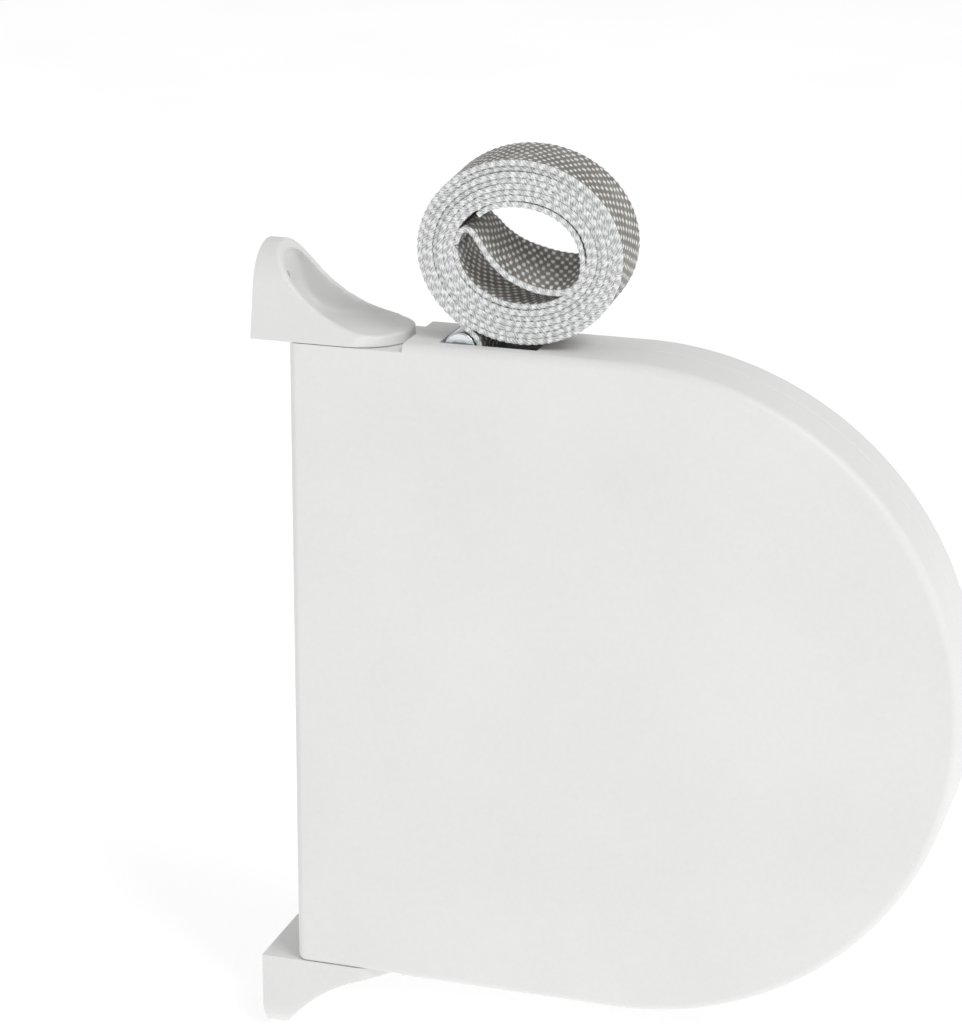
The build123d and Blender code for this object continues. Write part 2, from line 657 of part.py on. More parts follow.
def on_guide(angle):
    """A point of the strand's middle line where it lies round the roller."""
    return (ROLLER_X + GUIDE_RADIUS * cos(angle), ROLLER_Z + GUIDE_RADIUS * sin(angle))


with BuildPart() as belt_strand:
    with BuildSketch(across(BELT_WIDTH / 2)):
        with BuildLine():
            leaving_point = (
                SPOOL_X - LEAVING_RADIUS * cos(lower_turn),
                -LEAVING_RADIUS * sin(lower_turn),
            )
            Line(leaving_point, on_guide(lower_turn))
            ThreePointArc(
                on_guide(lower_turn),
                on_guide((lower_turn + upper_turn) / 2),
                on_guide(upper_turn),
            )
            Line(on_guide(upper_turn), roll_join)
        trace(line_width=BELT_THICKNESS)
    extrude(amount=BELT_WIDTH)
belt_strand.part.label = "belt_strand"

with BuildPart() as belt_roll:
    # turns pressed together into a ring, with the folded start of the roll across the hole
    with BuildSketch(across(BELT_WIDTH / 2)):
        with Locations((ROLL_X, ROLL_Z)):
            Ellipse(ROLL_HALF_LENGTH, ROLL_HALF_HEIGHT)
            Ellipse(ROLL_HALF_LENGTH - ROLL_WALL, ROLL_HALF_HEIGHT - ROLL_WALL, mode=Mode.SUBTRACT)
            core_length = 2 * (ROLL_HALF_LENGTH - ROLL_WALL + ROLL_CORE_OVERLAP)
            Rectangle(core_length, 2 * BELT_THICKNESS, rotation=ROLL_CORE_ANGLE)
    extrude(amount=BELT_WIDTH)
belt_roll.part.label = "belt_roll"

# ---- Export ----

os.makedirs("parts", exist_ok=True)
for piece in (
    top_bracket, bottom_bracket, front_shell, rear_shell, shell_screws,
    spool_axle, axle_retaining_ring, spool_washer,
    spool_cup, spool_cover, cover_screws, front_spool_bush, rear_spool_bush,
    spring_anchor_pin, belt_anchor_pin, clock_spring,
    guide_roller, guide_roller_pin, belt_on_spool, belt_strand, belt_roll,
):
    export_step(piece.part, f"parts/{piece.part.label}.step")
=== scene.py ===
import json
from math import acos, atan2, cos, hypot, pi, radians, sin

import bmesh
import bpy
from mathutils import Matrix, Vector


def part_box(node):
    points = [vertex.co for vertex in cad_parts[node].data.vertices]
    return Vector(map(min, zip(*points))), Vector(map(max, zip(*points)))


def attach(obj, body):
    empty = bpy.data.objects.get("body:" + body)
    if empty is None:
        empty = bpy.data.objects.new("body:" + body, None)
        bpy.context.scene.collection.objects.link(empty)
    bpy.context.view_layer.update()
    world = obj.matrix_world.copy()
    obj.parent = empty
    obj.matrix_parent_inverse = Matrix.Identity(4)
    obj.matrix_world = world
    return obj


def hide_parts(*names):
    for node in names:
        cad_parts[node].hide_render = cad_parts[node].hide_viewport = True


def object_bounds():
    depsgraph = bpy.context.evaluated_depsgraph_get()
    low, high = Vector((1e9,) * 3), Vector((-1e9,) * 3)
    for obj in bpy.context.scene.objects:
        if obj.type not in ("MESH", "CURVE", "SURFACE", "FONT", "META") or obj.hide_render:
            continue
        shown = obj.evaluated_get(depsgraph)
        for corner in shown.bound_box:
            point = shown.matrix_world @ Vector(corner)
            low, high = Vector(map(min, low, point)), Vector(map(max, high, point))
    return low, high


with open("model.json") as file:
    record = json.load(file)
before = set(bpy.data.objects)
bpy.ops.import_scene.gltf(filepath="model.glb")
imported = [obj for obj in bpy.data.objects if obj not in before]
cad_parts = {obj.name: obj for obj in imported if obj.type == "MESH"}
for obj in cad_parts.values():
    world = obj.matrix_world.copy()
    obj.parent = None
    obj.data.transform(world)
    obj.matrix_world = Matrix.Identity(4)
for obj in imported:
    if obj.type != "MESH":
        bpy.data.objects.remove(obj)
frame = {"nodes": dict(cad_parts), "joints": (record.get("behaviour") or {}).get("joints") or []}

cad_low, cad_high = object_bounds()
MM = 0.001

# ---- Camera ----
# It looks at the front of the housing from a little to the right and above.

EYE = Vector((243.9, -613.8, 242.5)) * MM
TURNED_LEFT = radians(17.6)
LOOKING_DOWN = radians(17.84)
ROLLED = radians(0.25)
LENS = 108.0

camera = bpy.data.objects.new("camera", bpy.data.cameras.new("camera"))
bpy.context.scene.collection.objects.link(camera)
camera.data.lens = LENS
camera.data.clip_start = 0.01
aim = Matrix.Rotation(TURNED_LEFT, 4, "Z") @ Matrix.Rotation(pi / 2 - LOOKING_DOWN, 4, "X")
camera.matrix_world = Matrix.Translation(EYE) @ aim @ Matrix.Rotation(ROLLED, 4, "Z")
bpy.context.scene.camera = camera

# ---- Top bracket ----
# One moulding in white ABS: an arched plate screwed to the wall, which sweeps out into a dished
# tongue. The stud under the tongue carries the housing's upper corner.

BRACKET_HEIGHT = 20.05 * MM
ARCH_RADIUS = 9.5 * MM
WALL_SCREW_RADIUS = 2.25 * MM
PLATE_THICKNESS = 4.2 * MM
DISH_WALL = 1.9 * MM
DISH_FLOOR = 2.0 * MM
DISH_SWEEP = 9.0 * MM
PIVOT_X = frame["joints"][0]["pos_m"][0]
STUD_RADIUS = 4.4 * MM
STUD_LENGTH = 6.6 * MM
COLLAR_RADIUS = 5.4 * MM
COLLAR_START = 3.9 * MM
COLLAR_HEIGHT = 1.5 * MM
STUD_BEVEL = 0.25 * MM
SPARE = 1.5 * MM
SKIN_STEP = 0.4 * MM
SKIN_PASSES = 5
DISH_PASSES = 36
ROUND_STEPS = 256


class Wire:
    """A shader socket that can be used in sums."""

    def __init__(self, finish, socket):
        self.finish = finish
        self.socket = socket

    def maths(self, operation, first, second=0.0):
        return self.finish.node("ShaderNodeMath", {"operation": operation}, {0: first, 1: second})

    def __add__(self, other):
        return self.maths("ADD", self, other)

    def __radd__(self, other):
        return self.maths("ADD", other, self)

    def __sub__(self, other):
        return self.maths("SUBTRACT", self, other)

    def __rsub__(self, other):
        return self.maths("SUBTRACT", other, self)

    def __mul__(self, other):
        return self.maths("MULTIPLY", self, other)

    def __rmul__(self, other):
        return self.maths("MULTIPLY", other, self)


class Finish:
    """A material: its nodes are made by one method, and constants go on the shader itself."""

    def __init__(self, name, constants):
        self.material = bpy.data.materials.new(name)
        self.material.use_nodes = True
        self.tree = self.material.node_tree
        self.shader = self.tree.nodes["Principled BSDF"]
        for socket, value in constants.items():
            self.shader.inputs[socket].default_value = value

    def node(self, kind, settings=None, values=None, output=0):
        made = self.tree.nodes.new(kind)
        for setting, value in (settings or {}).items():
            if setting == "stops":
                for place, (position, colour) in enumerate(value):
                    stops = made.color_ramp.elements
                    stop = stops[place] if place < 2 else stops.new(position)
                    stop.position = position
                    stop.color = (*colour, 1.0)
            else:
                setattr(made, setting, value)
        for socket, value in (values or {}).items():
            self.set(made.inputs[socket], value)
        return Wire(self, made.outputs[output])

    def set(self, socket, value):
        if isinstance(value, Wire):
            self.tree.links.new(value.socket, socket)
        else:
            socket.default_value = value

    def feed(self, name, wire):
        self.set(self.shader.inputs[name], wire)

    def place(self):
        return self.node("ShaderNodeTexCoord", output="Object")

    def noise(self, scale, detail=2.0, where=None):
        values = {"Vector": where or self.place(), "Scale": scale, "Detail": detail}
        return self.node("ShaderNodeTexNoise", None, values)

    def ramp(self, value, *stops):
        return self.node("ShaderNodeValToRGB", {"stops": stops}, {0: value})

    def bump(self, height, depth, strength=1.0):
        values = {"Height": height, "Distance": depth, "Strength": strength}
        self.feed("Normal", self.node("ShaderNodeBump", None, values))


def moulded_plastic(name, shade, grain):
    """Spark-eroded ABS: a fine even grain, faint flow clouds, and a satin gloss that varies a little."""
    finish = Finish(name, {"Specular IOR Level": 0.42, "IOR": 1.52})
    cloud = finish.noise(28.0, 3.0)
    speck = finish.noise(900.0, 1.0)
    tone = cloud * 0.7 + speck * 0.3
    darker = tuple(0.965 * part for part in shade)
    lighter = tuple(min(1.0, 1.02 * part) for part in shade)
    finish.feed("Base Color", finish.ramp(tone, (0.3, darker), (0.7, lighter)))
    finish.feed("Roughness", 0.36 + cloud * 0.12 + speck * 0.05)
    finish.bump(finish.noise(grain, 2.0) + finish.noise(grain * 0.12, 1.0) * 0.8, 0.012 * MM, 0.6)
    return finish.material


bracket_white = moulded_plastic("bracket_white", (0.80, 0.80, 0.795), 2600.0)


def finished_place(piece):
    """Puts the object's place, turn and size into its mesh."""
    bpy.ops.object.select_all(action="DESELECT")
    piece.select_set(True)
    bpy.context.view_layer.objects.active = piece
    bpy.ops.object.transform_apply(location=True, rotation=True, scale=True)
    return piece


def block(low, high):
    """A rectangular block between two corners."""
    bpy.ops.object.select_all(action="DESELECT")
    low, high = Vector(low), Vector(high)
    bpy.ops.mesh.primitive_cube_add(size=1, location=(low + high) / 2, scale=high - low)
    return finished_place(bpy.context.object)


def rod(axis, centre, radius, length, steps=96):
    """A round bar about X, Y or Z, centred at a point."""
    bpy.ops.object.select_all(action="DESELECT")
    turn = {"X": (0, pi / 2, 0), "Y": (pi / 2, 0, 0), "Z": (0, 0, 0)}[axis]
    bpy.ops.mesh.primitive_cylinder_add(
        vertices=steps, radius=radius, depth=length, location=centre, rotation=turn
    )
    return finished_place(bpy.context.object)


def edit(piece, kind, test):
    """Opens a piece in edit mode with only the vertices, edges or faces chosen by test selected."""
    bpy.ops.object.select_all(action="DESELECT")
    piece.select_set(True)
    bpy.context.view_layer.objects.active = piece
    bpy.ops.object.mode_set(mode="EDIT")
    bpy.ops.mesh.select_mode(type=kind)
    bpy.ops.mesh.select_all(action="DESELECT")
    mesh = bmesh.from_edit_mesh(piece.data)
    chosen = {"VERT": mesh.verts, "EDGE": mesh.edges, "FACE": mesh.faces}[kind]
    for element in chosen:
        if test(element):
            element.select_set(True)
    bmesh.update_edit_mesh(piece.data)


def close_edit():
    bpy.ops.object.mode_set(mode="OBJECT")


def modify(piece, kind, settings):
    """Adds a modifier to a piece and applies it."""
    bpy.ops.object.select_all(action="DESELECT")
    piece.select_set(True)
    bpy.context.view_layer.objects.active = piece
    modifier = piece.modifiers.new(kind.lower(), kind)
    for setting, value in settings.items():
        setattr(modifier, setting, value)
    bpy.ops.object.modifier_apply(modifier=modifier.name)
    return piece


def combine(piece, tool, operation):
    """Unites, cuts or intersects a piece with a tool, and throws the tool away."""
    modify(piece, "BOOLEAN", {"operation": operation, "solver": "EXACT", "object": tool})
    bpy.data.objects.remove(tool)
    return piece


def hull(*pieces):
    """The convex skin round several pieces."""
    bpy.ops.object.select_all(action="DESELECT")
    for piece in pieces:
        piece.select_set(True)
    bpy.context.view_layer.objects.active = pieces[0]
    bpy.ops.object.join()
    edit(pieces[0], "VERT", lambda vertex: True)
    bpy.ops.mesh.delete(type="EDGE_FACE")
    bpy.ops.mesh.select_all(action="SELECT")
    bpy.ops.mesh.convex_hull()
    bpy.ops.mesh.select_all(action="SELECT")
    bpy.ops.mesh.normals_make_consistent(inside=False)
    close_edit()
    return pieces[0]


def halve(piece, place, normal):
    """Cuts off and closes the side of a piece that the normal points to."""
    edit(piece, "FACE", lambda face: True)
    bpy.ops.mesh.bisect(plane_co=place, plane_no=normal, use_fill=True, clear_outer=True)
    close_edit()
    return piece


def melt(piece, step, passes):
    """Remakes the skin in even squares and rounds its edges, as a polished mould does."""
    modify(piece, "REMESH", {"mode": "VOXEL", "voxel_size": step, "use_smooth_shade": True})
    return modify(piece, "SMOOTH", {"factor": 0.5, "iterations": passes})


def smooth_skin(piece, sharp_angle):
    """Smooth shading that stays sharp at edges, with flat faces kept flat."""
    bpy.ops.object.select_all(action="DESELECT")
    piece.select_set(True)
    bpy.context.view_layer.objects.active = piece
    bpy.ops.object.shade_smooth_by_angle(angle=radians(sharp_angle))
    return modify(piece, "WEIGHTED_NORMAL", {"keep_sharp": True, "weight": 80})


def circle_through(first, middle, last):
    """Centre and radius of the circle through three (x, z) points."""
    (ax, az), (bx, bz), (cx, cz) = first, middle, last
    twice = 2 * (ax * (bz - cz) + bx * (cz - az) + cx * (az - bz))
    a, b, c = ax * ax + az * az, bx * bx + bz * bz, cx * cx + cz * cz
    x = (a * (bz - cz) + b * (cz - az) + c * (az - bz)) / twice
    z = (a * (cx - bx) + b * (ax - cx) + c * (bx - ax)) / twice
    return (x, z), hypot(ax - x, az - z)


def sweep_cutter(first, middle, last, width):
    """A thick round bar across the housing whose side passes through three (x, z) points."""
    (x, z), radius = circle_through(first, middle, last)
    return rod("Y", (x, 0, z), radius, width, ROUND_STEPS)


def tongue(low_z, high_z, inset):
    """The plan of both brackets: straight from the wall, round about the pivot."""
    half = tongue_half - inset
    flank = block((-SPARE, -half, low_z), (PIVOT_X, half, high_z))
    end = rod("Z", (PIVOT_X, 0, (low_z + high_z) / 2), half, high_z - low_z, ROUND_STEPS // 2)
    return hull(flank, end)


def arch(low_z, inset, length):
    """The arched head seen from the wall, as a long prism."""
    half = tongue_half + MM / 50 - inset
    foot = block((-length, -half, low_z - SPARE), (length, half, low_z + SPARE))
    head = rod("X", (0, 0, arch_z), ARCH_RADIUS - inset, 2 * length, ROUND_STEPS // 2)
    return hull(foot, head)


def add_stud(piece, base_z, outward):
    """The pivot stud with the collar that the housing's two halves trap."""
    middle = base_z + outward * (STUD_LENGTH - SPARE) / 2
    stud = rod("Z", (PIVOT_X, 0, middle), STUD_RADIUS, STUD_LENGTH + SPARE)
    collar_z = base_z + outward * (COLLAR_START + COLLAR_HEIGHT / 2)
    combine(stud, rod("Z", (PIVOT_X, 0, collar_z), COLLAR_RADIUS, COLLAR_HEIGHT), "UNION")
    edit(stud, "EDGE", lambda edge: len(edge.link_faces) == 2 and edge.calc_face_angle(0) > 1)
    bpy.ops.mesh.bevel(offset=STUD_BEVEL, segments=2, affect="EDGES")
    close_edit()
    return combine(piece, stud, "UNION")


tongue_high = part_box("top_bracket")[1]
tongue_half = tongue_high.y
tip_x = tongue_high.x
arch_top_z = tongue_high.z
arch_z = arch_top_z - ARCH_RADIUS
base_z = arch_top_z - BRACKET_HEIGHT
floor_z = base_z + DISH_FLOOR

# the outside: a block cut to the plan, to the arch and to the rim's sweep
top_bracket = tongue(base_z - SPARE, arch_top_z + SPARE, 0)
combine(top_bracket, arch(base_z - SPARE, 0, 2 * tip_x), "INTERSECT")
rim_start = (3.9 * MM, arch_top_z)
rim_middle = (12.5 * MM, base_z + 8.6 * MM)
rim_end = (tip_x, base_z + 2.5 * MM)
combine(top_bracket, sweep_cutter(rim_start, rim_middle, rim_end, 4 * tongue_half), "DIFFERENCE")

# the dish: a box with a swept heel, trimmed like the outside and then melted into a spoon shape
dish = block((PLATE_THICKNESS, -2 * tongue_half, floor_z), (2 * tip_x, 2 * tongue_half, arch_top_z + SPARE))
heel_reach = PLATE_THICKNESS + MM / 10
edit(dish, "EDGE", lambda edge: all(v.co.x < heel_reach and v.co.z < floor_z + MM / 10 for v in edge.verts))
bpy.ops.mesh.bevel(offset=DISH_SWEEP, segments=12, affect="EDGES")
close_edit()
combine(dish, tongue(floor_z - SPARE, arch_top_z + 2 * SPARE, DISH_WALL), "INTERSECT")
combine(dish, arch(floor_z - SPARE, DISH_WALL, 3 * tip_x), "INTERSECT")
melt(dish, SKIN_STEP, DISH_PASSES)
combine(top_bracket, dish, "DIFFERENCE")
melt(top_bracket, SKIN_STEP, SKIN_PASSES)

# flat where it meets the wall and the housing; then the stud and the screw hole
halve(top_bracket, (0, 0, base_z), (0, 0, -1))
halve(top_bracket, (0, 0, 0), (-1, 0, 0))
add_stud(top_bracket, base_z, -1)
combine(top_bracket, rod("X", (0, 0, arch_z), WALL_SCREW_RADIUS, 4 * PLATE_THICKNESS), "DIFFERENCE")
smooth_skin(top_bracket, 40)
top_bracket.name = "top_bracket_moulding"
top_bracket.data.materials.clear()
top_bracket.data.materials.append(bracket_white)
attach(top_bracket, "brackets")
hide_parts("top_bracket")

# ---- Bottom bracket ----
# The same tongue in white ABS on a short foot with round lower corners. Its underside sweeps up
# to the tip, and a pocket in the foot takes the wall screw's head.

foot_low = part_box("bottom_bracket")[0]
FOOT_HEIGHT = 19.25 * MM
FOOT_LENGTH = 8.9 * MM
FOOT_LEAN = 2.0 * MM
FOOT_ROUND = 7.5 * MM
SCREW_POCKET_RADIUS = 4.6 * MM

foot_bottom_z = foot_low.z
foot_top_z = foot_bottom_z + FOOT_HEIGHT
heel = (FOOT_LENGTH + FOOT_LEAN, foot_top_z - 11.2 * MM)

bottom_bracket = block((-2 * SPARE, -tongue_half - MM / 50, foot_bottom_z),
                       (2 * tip_x, tongue_half + MM / 50, foot_top_z + SPARE))
edit(bottom_bracket, "EDGE", lambda edge: all(v.co.z < foot_top_z for v in edge.verts)
     and abs(edge.verts[0].co.y - edge.verts[1].co.y) < MM)
bpy.ops.mesh.bevel(offset=FOOT_ROUND, segments=16, affect="EDGES")
close_edit()
combine(bottom_bracket, tongue(foot_bottom_z - SPARE, foot_top_z + 2 * SPARE, 0), "INTERSECT")
underside = sweep_cutter((tip_x, foot_top_z - 1.4 * MM), (19.7 * MM, foot_top_z - 5.2 * MM), heel,
                         4 * tongue_half)
combine(bottom_bracket, underside, "DIFFERENCE")
pocket = rod("X", (PLATE_THICKNESS + tip_x / 2, 0, -arch_z), SCREW_POCKET_RADIUS, tip_x)
combine(bottom_bracket, pocket, "DIFFERENCE")
melt(bottom_bracket, SKIN_STEP, SKIN_PASSES)
halve(bottom_bracket, (0, 0, foot_top_z), (0, 0, 1))
halve(bottom_bracket, (0, 0, 0), (-1, 0, 0))
add_stud(bottom_bracket, foot_top_z, 1)
combine(bottom_bracket, rod("X", (0, 0, -arch_z), WALL_SCREW_RADIUS, 4 * PLATE_THICKNESS), "DIFFERENCE")
smooth_skin(bottom_bracket, 40)
bottom_bracket.name = "bottom_bracket_moulding"
bottom_bracket.data.materials.clear()
bottom_bracket.data.materials.append(bracket_white)
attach(bottom_bracket, "brackets")
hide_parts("bottom_bracket")

# ---- Housing shells ----
# Two shallow halves in white ABS that meet in a seam round the edge, a little behind the middle.
# Inside are blocks that trap the bracket studs, and bosses for four screws driven from the rear.

WALL = 2.0 * MM
EDGE_ROUND = 2.0 * MM
CORNER_ROUND = 2.3 * MM
CAVITY_CORNER = 1.0 * MM
SEAM_ROUND = 0.28 * MM
SEAM_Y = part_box("front_shell")[1].y
housing_low, rear_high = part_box("rear_shell")
housing_left = housing_low.x
housing_radius = rear_high.z
half_depth = rear_high.y
spool_x = frame["joints"][1]["pos_m"][0]
NOTCH_CLEARANCE = 0.25 * MM
TOP_NOTCH_Z = base_z - NOTCH_CLEARANCE
BOTTOM_NOTCH_Z = foot_top_z + NOTCH_CLEARANCE
TOP_NOTCH_END = tip_x + 1.3 * MM
BOTTOM_NOTCH_END = tip_x + 0.5 * MM
SOCKET_CLEARANCE = 0.1 * MM
SOCKET_DEPTH = 9.0 * MM
BEARING_BLOCK = (12.0 * MM, 33.0 * MM, 66.0 * MM)
SHELL_SCREW_RADIUS = 1.5 * MM
SHELL_BOSS_RADIUS = 4.2 * MM
SCREW_SEAT_RADIUS = 3.1 * MM
SCREW_SEAT_DEPTH = 3.0 * MM
SCREW_REACH = 14.5 * MM
AXLE_HEAD_RADIUS = 7.0 * MM
AXLE_HEAD_DEPTH = 0.8 * MM
AXLE_RADIUS = 4.0 * MM
SLOT_START = 41.8 * MM
SLOT_END = 63.8 * MM
SLOT_HALF_WIDTH = 7.3 * MM
roller_x, _, roller_z = frame["joints"][2]["pos_m"]
ROLLER_PIN_RADIUS = 0.8 * MM
ROLLER_PIN_LENGTH = 17.4 * MM

ring_reach = 69.0 * MM
ring_angle = radians(40)
ring_x = spool_x + ring_reach * cos(ring_angle)
ring_z = ring_reach * sin(ring_angle)
screw_places = [(side_x, side * side_z) for side_x, side_z in ((16 * MM, 56 * MM), (ring_x, ring_z))
                for side in (1, -1)]

housing_white = moulded_plastic("housing_white", (0.815, 0.815, 0.81), 2200.0)


def d_block(inset, corner, start_y, end_y):
    """A solid D, straight at the wall side and half round at the room side."""
    radius = housing_radius - inset
    left = housing_left + inset
    tiny = MM / 100
    bpy.ops.object.select_all(action="DESELECT")
    bpy.ops.mesh.primitive_circle_add(
        vertices=ROUND_STEPS, radius=radius, location=(spool_x, start_y, 0), rotation=(pi / 2, 0, 0)
    )
    solid = finished_place(bpy.context.object)
    # keep the room-side half of the circle and draw its ends out to the wall side
    edit(solid, "VERT", lambda vertex: vertex.co.x < spool_x - tiny)
    bpy.ops.mesh.delete(type="VERT")
    close_edit()
    for side in (1, -1):
        edit(solid, "VERT", lambda vertex: abs(vertex.co.z - side * radius) < tiny
             and vertex.co.x < spool_x + tiny)
        bpy.ops.mesh.extrude_region_move(TRANSFORM_OT_translate={"value": (left - spool_x, 0, 0)})
        close_edit()
    edit(solid, "VERT", lambda vertex: True)
    bpy.ops.mesh.edge_face_add()
    close_edit()
    edit(solid, "VERT", lambda vertex: vertex.co.x < left + tiny)
    bpy.ops.mesh.bevel(offset=corner, segments=10, affect="VERTICES")
    close_edit()
    edit(solid, "FACE", lambda face: True)
    bpy.ops.mesh.extrude_region_move(TRANSFORM_OT_translate={"value": (0, end_y - start_y, 0)})
    bpy.ops.mesh.select_all(action="SELECT")
    bpy.ops.mesh.normals_make_consistent(inside=False)
    close_edit()
    return solid


def round_rim(solid, rim_y, radius, segments):
    """Rounds the edge that runs right round a D-shaped solid at one depth."""
    edit(solid, "EDGE", lambda edge: all(abs(v.co.y - rim_y) < MM / 100 for v in edge.verts))
    bpy.ops.mesh.bevel(offset=radius, segments=segments, affect="EDGES")
    close_edit()


def half_housing(outside_y):
    """The tray between the seam and its outer face. Its lip is slightly rounded, so the seam shows."""
    outward = 1 if outside_y > SEAM_Y else -1
    tray = d_block(0, CORNER_ROUND, SEAM_Y, outside_y)
    round_rim(tray, outside_y, EDGE_ROUND, 10)
    round_rim(tray, SEAM_Y, SEAM_ROUND, 3)
    inside_y = outside_y - outward * WALL
    cavity = d_block(WALL, CAVITY_CORNER, SEAM_Y - outward * SPARE, inside_y)
    round_rim(cavity, inside_y, CAVITY_CORNER / 2, 4)
    return combine(tray, cavity, "DIFFERENCE")


def fit_out(tray, outside_y):
    """Adds the bearing blocks and bosses, then cuts what both halves share."""
    inner_y = outside_y - WALL / 2 if outside_y > SEAM_Y else outside_y + WALL / 2
    seam_y = SEAM_Y - MM / 50 if outside_y < SEAM_Y else SEAM_Y + MM / 50
    near_y, far_y = min(seam_y, inner_y), max(seam_y, inner_y)
    block_start, block_end, block_z = BEARING_BLOCK
    for low_z, high_z in ((block_z, TOP_NOTCH_Z + MM), (BOTTOM_NOTCH_Z - MM, -block_z)):
        combine(tray, block((block_start, near_y, low_z), (block_end, far_y, high_z)), "UNION")
    for x, z in screw_places:
        boss = rod("Y", (x, (near_y + far_y) / 2, z), SHELL_BOSS_RADIUS, far_y - near_y, 48)
        combine(tray, boss, "UNION")
    wide = 2 * half_depth
    notches = ((TOP_NOTCH_Z, TOP_NOTCH_END, 1), (BOTTOM_NOTCH_Z, BOTTOM_NOTCH_END, -1))
    for notch_z, notch_end, outward in notches:
        outer_z = notch_z + outward * 2 * WALL
        notch = block((0, -wide, min(notch_z, outer_z)), (notch_end, wide, max(notch_z, outer_z)))
        combine(tray, notch, "DIFFERENCE")
        socket_z = notch_z - outward * (SOCKET_DEPTH - SPARE) / 2
        socket_radius = STUD_RADIUS + SOCKET_CLEARANCE
        combine(tray, rod("Z", (PIVOT_X, 0, socket_z), socket_radius, SOCKET_DEPTH + SPARE), "DIFFERENCE")
        collar_z = notch_z - outward * (COLLAR_START + COLLAR_HEIGHT / 2 - NOTCH_CLEARANCE)
        collar_room = COLLAR_HEIGHT + 2 * SOCKET_CLEARANCE
        collar = rod("Z", (PIVOT_X, 0, collar_z), COLLAR_RADIUS + SOCKET_CLEARANCE, collar_room)
        combine(tray, collar, "DIFFERENCE")
    slot = block((SLOT_START, -SLOT_HALF_WIDTH, housing_radius - 2 * WALL),
                 (SLOT_END, SLOT_HALF_WIDTH, housing_radius + WALL))
    combine(tray, slot, "DIFFERENCE")
    pin_hole = rod("Y", (roller_x, 0, roller_z), ROLLER_PIN_RADIUS, ROLLER_PIN_LENGTH, 32)
    combine(tray, pin_hole, "DIFFERENCE")
    for x, z in screw_places:
        hole = rod("Y", (x, half_depth - SCREW_SEAT_DEPTH - SCREW_REACH / 2, z), SHELL_SCREW_RADIUS,
                   SCREW_REACH + SPARE, 32)
        combine(tray, hole, "DIFFERENCE")
    return tray


def finish_shell(tray, name, node):
    smooth_skin(tray, 32)
    tray.name = name
    tray.data.materials.clear()
    tray.data.materials.append(housing_white)
    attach(tray, "housing")
    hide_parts(node)


front_half = fit_out(half_housing(-half_depth), -half_depth)
finish_shell(front_half, "front_half", "front_shell")

rear_half = fit_out(half_housing(half_depth), half_depth)
for x, z in screw_places:
    seat = rod("Y", (x, half_depth, z), SCREW_SEAT_RADIUS, 2 * SCREW_SEAT_DEPTH, 64)
    combine(rear_half, seat, "DIFFERENCE")
axle_hole = rod("Y", (spool_x, half_depth, 0), AXLE_RADIUS, 4 * WALL)
combine(rear_half, axle_hole, "DIFFERENCE")
axle_seat = rod("Y", (spool_x, half_depth, 0), AXLE_HEAD_RADIUS, 2 * AXLE_HEAD_DEPTH, 128)
combine(rear_half, axle_seat, "DIFFERENCE")
finish_shell(rear_half, "rear_half", "rear_shell")

# ---- Shell screws ----
# Four zinc-plated thread-forming screws with domed heads and cross recesses, sunk in the rear.

SCREW_HEAD_RADIUS = 2.8 * MM
SCREW_HEAD_HEIGHT = 2.0 * MM
RECESS_LENGTH = 3.2 * MM
RECESS_WIDTH = 0.75 * MM
RECESS_DEPTH = 1.2 * MM
DOME_BEVEL = 0.9 * MM
THREAD_PITCH = 1.3 * MM
THREAD_DEPTH = 0.25 * MM


def plated_steel(name, colour, roughness):
    """Bright zinc: a bluish metal with fine drawn lines and a faintly clouded plating."""
    finish = Finish(name, {"Metallic": 1.0})
    cloud = finish.noise(420.0, 3.0)
    grain = finish.noise(3200.0, 2.0)
    darker = tuple(0.88 * part for part in colour)
    finish.feed("Base Color", finish.ramp(cloud, (0.32, darker), (0.62, colour)))
    finish.feed("Roughness", roughness + cloud * 0.14 + grain * 0.06)
    finish.bump(grain + cloud * 0.6, 0.01 * MM, 0.5)
    return finish.material


zinc_steel = plated_steel("zinc_steel", (0.80, 0.83, 0.86), 0.14)


def shell_screw(x, z):
    seat_y = half_depth - SCREW_SEAT_DEPTH
    head = rod("Y", (x, seat_y + SCREW_HEAD_HEIGHT / 2, z), SCREW_HEAD_RADIUS, SCREW_HEAD_HEIGHT, 48)
    top_y = seat_y + SCREW_HEAD_HEIGHT - MM / 100
    edit(head, "EDGE", lambda edge: all(v.co.y > top_y for v in edge.verts))
    bpy.ops.mesh.bevel(offset=DOME_BEVEL, segments=5, affect="EDGES")
    close_edit()
    for across, up in ((RECESS_LENGTH, RECESS_WIDTH), (RECESS_WIDTH, RECESS_LENGTH)):
        low = (x - across / 2, top_y - RECESS_DEPTH, z - up / 2)
        combine(head, block(low, (x + across / 2, top_y + MM, z + up / 2)), "DIFFERENCE")
    shank = rod("Y", (x, seat_y - SCREW_REACH / 2, z), SHELL_SCREW_RADIUS - THREAD_DEPTH, SCREW_REACH, 24)
    for turn in range(int(SCREW_REACH / THREAD_PITCH) - 1):
        rib_y = seat_y - (turn + 1.5) * THREAD_PITCH
        rib = rod("Y", (x, rib_y, z), SHELL_SCREW_RADIUS, THREAD_PITCH / 2, 24)
        edit(rib, "FACE", lambda face: abs(face.normal.y) > 0.9)
        bpy.ops.transform.resize(value=(0.84, 1, 0.84), center_override=(x, rib_y, z))
        close_edit()
        combine(shank, rib, "UNION")
    return combine(head, shank, "UNION")


def join(pieces, name):
    """Makes several loose pieces one object."""
    bpy.ops.object.select_all(action="DESELECT")
    for piece in pieces:
        piece.select_set(True)
    bpy.context.view_layer.objects.active = pieces[0]
    if len(pieces) > 1:
        bpy.ops.object.join()
    pieces[0].name = name
    return pieces[0]


